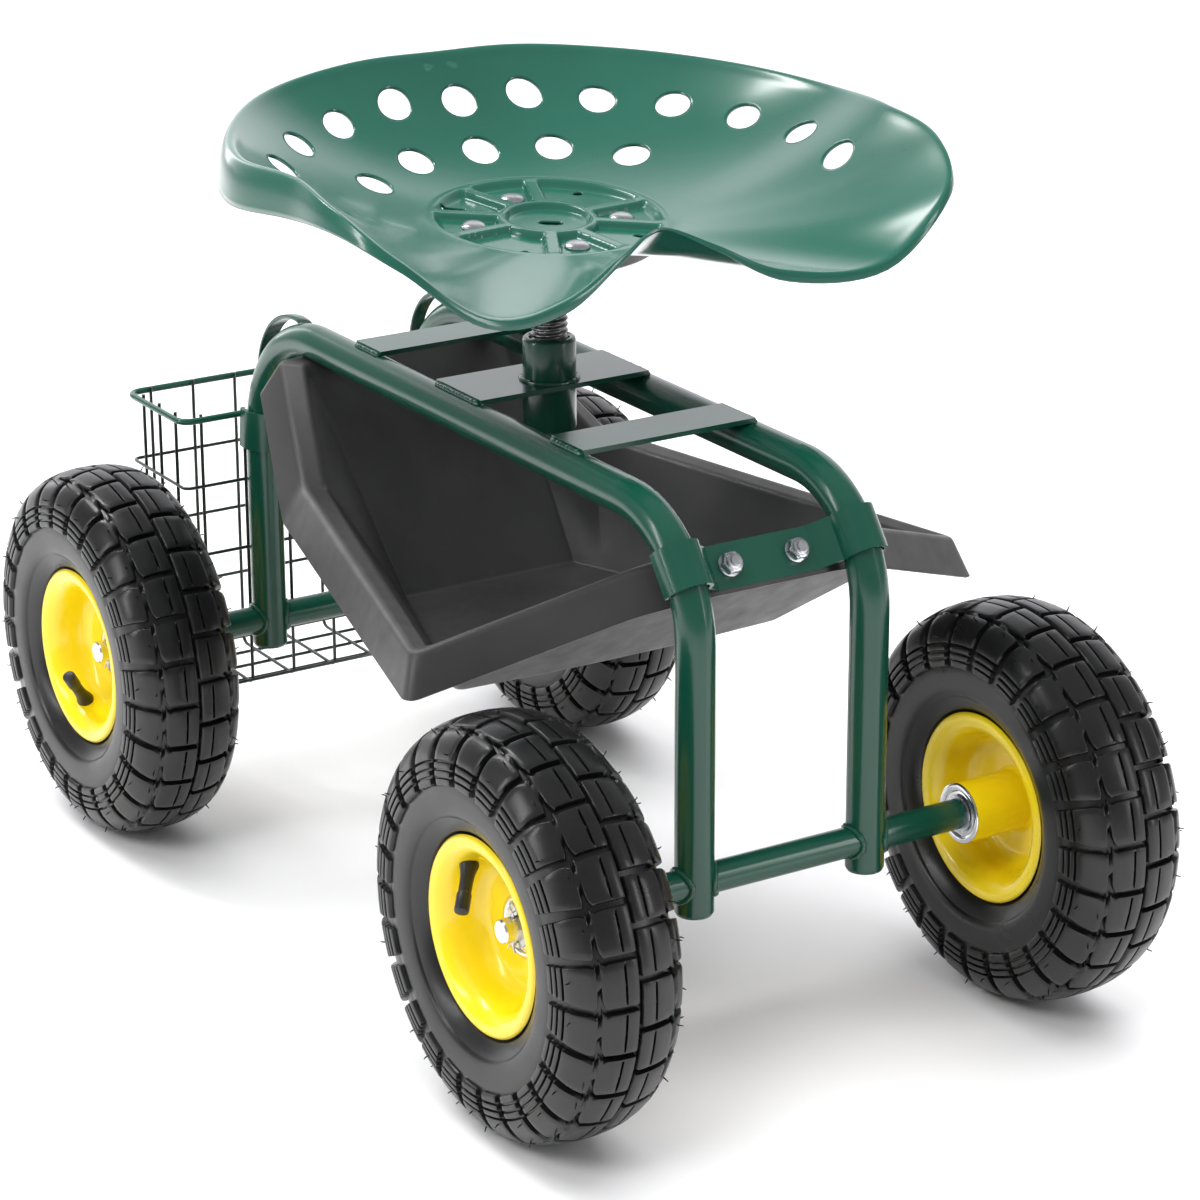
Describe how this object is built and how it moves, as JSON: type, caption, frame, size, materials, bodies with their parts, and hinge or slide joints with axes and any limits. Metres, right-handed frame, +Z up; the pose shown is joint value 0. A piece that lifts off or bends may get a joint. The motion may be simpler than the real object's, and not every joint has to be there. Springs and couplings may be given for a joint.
{
  "type": "rolling garden work seat",
  "caption": "Rolling garden work seat with a dished metal seat on a height screw, a tube frame on pneumatic wheels, a plastic tool tray under the seat and a wire basket behind.",
  "frame": {"origin": "on the ground, halfway between the two axles and on the middle plane", "axes": "+X forward to the axle in front of the seat, +Y to the left, +Z up"},
  "size_m": [0.798, 0.438, 0.5424],
  "materials": {
    "frame_paint": "glossy dark green powder coat",
    "seat_paint": "glossy green paint on pressed sheet steel",
    "rim_paint": "glossy yellow paint",
    "black_paint": "black paint",
    "zinc_steel": "zinc-plated steel",
    "dark_steel": "oiled dark steel thread",
    "bearing_chrome": "polished bearing steel",
    "tray_plastic": "satin charcoal plastic with a fine grain",
    "basket_wire": "very dark green coated wire",
    "tyre_rubber": "black moulded rubber",
    "tube_rubber": "black butyl rubber",
    "valve_rubber": "smooth black rubber"
  },
  "bodies": {
    "frame": {"left_rail": "frame_paint", "right_rail": "frame_paint", "leg_caps": "frame_paint", "front_crossbar": "frame_paint", "middle_crossbar": "frame_paint", "rear_crossbar": "frame_paint", "post_sleeve": "frame_paint", "front_axle_tube": "frame_paint", "rear_axle_tube": "frame_paint", "front_axle_rod": "zinc_steel", "rear_axle_rod": "zinc_steel", "axle_washers": "zinc_steel", "cotter_pins": "zinc_steel", "front_strap": "frame_paint", "rear_strap": "frame_paint", "strap_bolts": "zinc_steel", "strap_nuts": "zinc_steel", "tray": "tray_plastic", "tray_screws": "zinc_steel", "rail_lugs": "frame_paint"},
    "screw": {"seat_screw": "dark_steel"},
    "seat": {"seat_flange": "black_paint", "seat_pan": "seat_paint", "seat_bolts": "zinc_steel", "seat_nuts": "zinc_steel"},
    "basket": {"basket_rim": "frame_paint", "basket_mesh": "basket_wire", "basket_hooks": "frame_paint"},
    "front_right_wheel": {"front_right_tyre": "tyre_rubber", "front_right_inner_tube": "tube_rubber", "front_right_outer_rim": "rim_paint", "front_right_inner_rim": "rim_paint", "front_right_hub": "rim_paint", "front_right_bearings": "bearing_chrome", "front_right_valve": "valve_rubber"},
    "front_left_wheel": {"front_left_tyre": "tyre_rubber", "front_left_inner_tube": "tube_rubber", "front_left_outer_rim": "rim_paint", "front_left_inner_rim": "rim_paint", "front_left_hub": "rim_paint", "front_left_bearings": "bearing_chrome", "front_left_valve": "valve_rubber"},
    "rear_right_wheel": {"rear_right_tyre": "tyre_rubber", "rear_right_inner_tube": "tube_rubber", "rear_right_outer_rim": "rim_paint", "rear_right_inner_rim": "rim_paint", "rear_right_hub": "rim_paint", "rear_right_bearings": "bearing_chrome", "rear_right_valve": "valve_rubber"},
    "rear_left_wheel": {"rear_left_tyre": "tyre_rubber", "rear_left_inner_tube": "tube_rubber", "rear_left_outer_rim": "rim_paint", "rear_left_inner_rim": "rim_paint", "rear_left_hub": "rim_paint", "rear_left_bearings": "bearing_chrome", "rear_left_valve": "valve_rubber"}
  },
  "joints": [
    {"name": "screw_rise", "type": "slide", "parent": "frame", "child": "screw", "axis": [0, 0, 1], "range_m": [-0.0485, 0.0325]},
    {"name": "seat_turn", "type": "hinge", "parent": "screw", "child": "seat", "pos_m": [0.008, 0, 0.45], "axis": [0, 0, 1], "range_deg": [-4320, 2880]},
    {"name": "basket_lift", "type": "slide", "parent": "frame", "child": "basket", "axis": [0, 0, 1], "range_m": [0, 0.15]},
    {"name": "front_right_spin", "type": "hinge", "parent": "frame", "child": "front_right_wheel", "pos_m": [0.272, -0.179, 0.127], "axis": [0, 1, 0], "continuous": true},
    {"name": "front_left_spin", "type": "hinge", "parent": "frame", "child": "front_left_wheel", "pos_m": [0.272, 0.179, 0.127], "axis": [0, 1, 0], "continuous": true},
    {"name": "rear_right_spin", "type": "hinge", "parent": "frame", "child": "rear_right_wheel", "pos_m": [-0.272, -0.179, 0.127], "axis": [0, 1, 0], "continuous": true},
    {"name": "rear_left_spin", "type": "hinge", "parent": "frame", "child": "rear_left_wheel", "pos_m": [-0.272, 0.179, 0.127], "axis": [0, 1, 0], "continuous": true}
  ],
  "couplings": [
    {"joint": "screw_rise", "follows": "seat_turn", "m_per_rad": 0.00063662}
  ]
}
